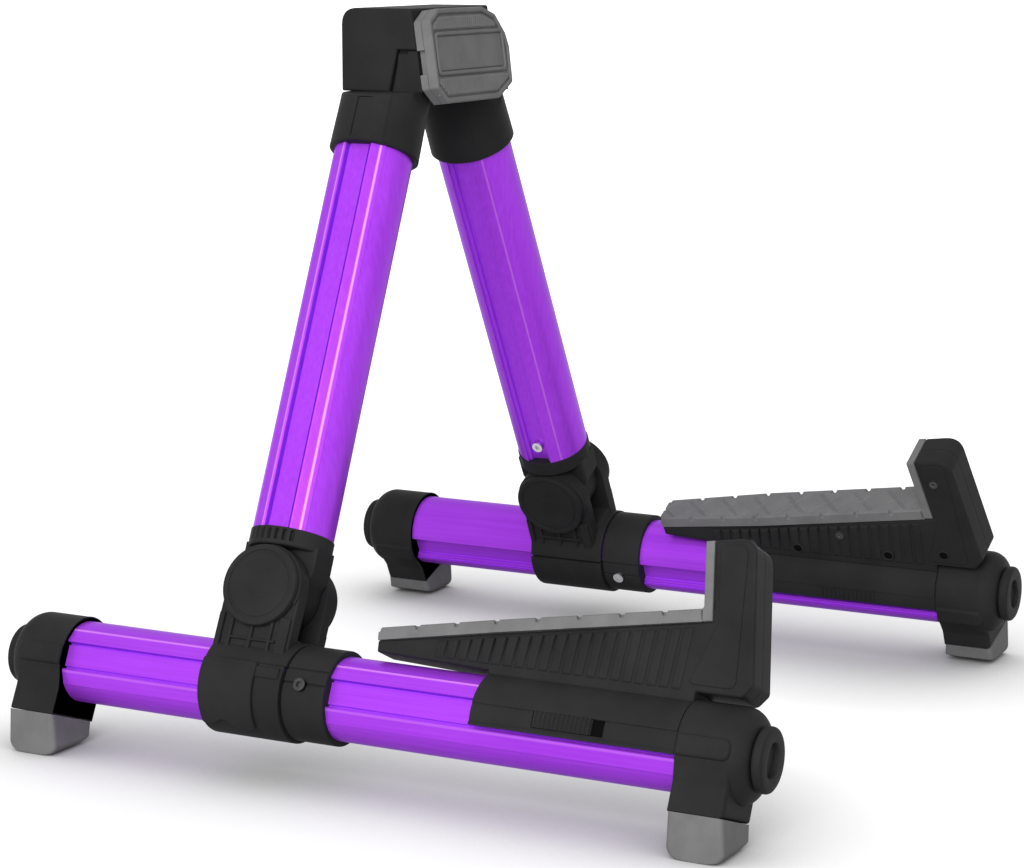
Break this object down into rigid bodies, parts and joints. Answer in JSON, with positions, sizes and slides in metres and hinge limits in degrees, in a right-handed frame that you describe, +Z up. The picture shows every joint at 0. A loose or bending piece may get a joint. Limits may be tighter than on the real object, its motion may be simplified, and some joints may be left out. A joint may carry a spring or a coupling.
{
  "type": "folding guitar stand",
  "caption": "Folding A-frame stand for a guitar: leaning tube legs under a padded head, foot tubes, and padded swinging support arms.",
  "frame": {"origin": "on the floor, under the middle of the stand's overall box", "axes": "+Z up, -Y to the front where the guitar rests, -X the stand's left half as the picture's camera sees it from behind the arms"},
  "size_m": [0.3058, 0.3024, 0.2711],
  "materials": {
    "anodised_violet": "satin violet anodised",
    "black_nylon": "matt moulded",
    "grey_rubber": "matt moulded rubber",
    "bright_steel": "bright zinc plated"
  },
  "bodies": {
    "head": {"head_block": "black_nylon", "head_pad": "grey_rubber", "pivot_pin_left": "bright_steel", "pivot_pin_right": "bright_steel"},
    "left_upright": {"upright_tube_left": "anodised_violet", "lower_fitting_left": "black_nylon", "upper_socket_left": "black_nylon", "upright_screw_left": "bright_steel"},
    "left_base": {"foot_tube_left": "anodised_violet", "collar_left": "black_nylon", "collar_clamp_left": "black_nylon", "collar_screw_outer_left": "bright_steel", "collar_screw_inner_left": "bright_steel", "hinge_pin_left": "bright_steel", "hinge_disc_outer_left": "black_nylon", "hinge_disc_inner_left": "black_nylon", "rear_cap_left": "black_nylon", "rear_plug_left": "black_nylon", "rear_foot_left": "grey_rubber", "front_cap_left": "black_nylon", "front_plug_left": "black_nylon", "front_foot_left": "grey_rubber"},
    "left_latch": {"latch_left": "black_nylon"},
    "left_arm": {"arm_outer_shell_left": "black_nylon", "arm_inner_shell_left": "black_nylon", "arm_pad_left": "grey_rubber", "arm_sleeve_left": "black_nylon", "arm_screw_tip_left": "bright_steel", "arm_screw_middle_left": "bright_steel", "arm_screw_lip_left": "bright_steel"},
    "left_slider": {"lock_slider_left": "black_nylon"},
    "right_upright": {"upright_tube_right": "anodised_violet", "lower_fitting_right": "black_nylon", "upper_socket_right": "black_nylon", "upright_screw_right": "bright_steel"},
    "right_base": {"foot_tube_right": "anodised_violet", "collar_right": "black_nylon", "collar_clamp_right": "black_nylon", "collar_screw_outer_right": "bright_steel", "collar_screw_inner_right": "bright_steel", "hinge_pin_right": "bright_steel", "hinge_disc_outer_right": "black_nylon", "hinge_disc_inner_right": "black_nylon", "rear_cap_right": "black_nylon", "rear_plug_right": "black_nylon", "rear_foot_right": "grey_rubber", "front_cap_right": "black_nylon", "front_plug_right": "black_nylon", "front_foot_right": "grey_rubber"},
    "right_latch": {"latch_right": "black_nylon"},
    "right_arm": {"arm_outer_shell_right": "black_nylon", "arm_inner_shell_right": "black_nylon", "arm_pad_right": "grey_rubber", "arm_sleeve_right": "black_nylon", "arm_screw_tip_right": "bright_steel", "arm_screw_middle_right": "bright_steel", "arm_screw_lip_right": "bright_steel"},
    "right_slider": {"lock_slider_right": "black_nylon"}
  },
  "joints": [
    {"name": "left_spread", "type": "hinge", "parent": "head", "child": "left_upright", "pos_m": [-0.018, 0.0517, 0.24375], "axis": [0, -1, 0], "range_deg": [0, 26]},
    {"name": "right_spread", "type": "hinge", "parent": "head", "child": "right_upright", "pos_m": [0.018, 0.0517, 0.24375], "axis": [0, 1, 0], "range_deg": [0, 26]},
    {"name": "left_fold", "type": "hinge", "parent": "left_upright", "child": "left_base", "pos_m": [-0.11571, 0.047, 0.06123], "axis": [-0.8949, 0, 0.4462], "range_deg": [0, 90]},
    {"name": "right_fold", "type": "hinge", "parent": "right_upright", "child": "right_base", "pos_m": [0.11571, 0.047, 0.06123], "axis": [-0.8949, 0, -0.4462], "range_deg": [0, 90]},
    {"name": "left_arm_swing", "type": "hinge", "parent": "left_base", "child": "left_arm", "pos_m": [-0.13088, -0.0846, 0.0308], "axis": [0, -1, 0], "range_deg": [0, 90]},
    {"name": "right_arm_swing", "type": "hinge", "parent": "right_base", "child": "right_arm", "pos_m": [0.13088, -0.0846, 0.0308], "axis": [0, 1, 0], "range_deg": [0, 90]},
    {"name": "left_latch_open", "type": "hinge", "parent": "left_base", "child": "left_latch", "pos_m": [-0.14559, 0.0575, 0.04337], "axis": [0, 1, 0], "range_deg": [0, 25]},
    {"name": "right_latch_open", "type": "hinge", "parent": "right_base", "child": "right_latch", "pos_m": [0.14559, 0.0575, 0.04337], "axis": [0, -1, 0], "range_deg": [0, 25]},
    {"name": "left_lock_slide", "type": "slide", "parent": "left_arm", "child": "left_slider", "axis": [0, -1, 0], "range_m": [0, 0.004]},
    {"name": "right_lock_slide", "type": "slide", "parent": "right_arm", "child": "right_slider", "axis": [0, -1, 0], "range_m": [0, 0.004]}
  ],
  "couplings": [
    {"joint": "right_spread", "follows": "left_spread", "ratio": 1},
    {"joint": "left_arm_swing", "follows": "left_fold", "ratio": 1},
    {"joint": "right_arm_swing", "follows": "right_fold", "ratio": 1}
  ]
}
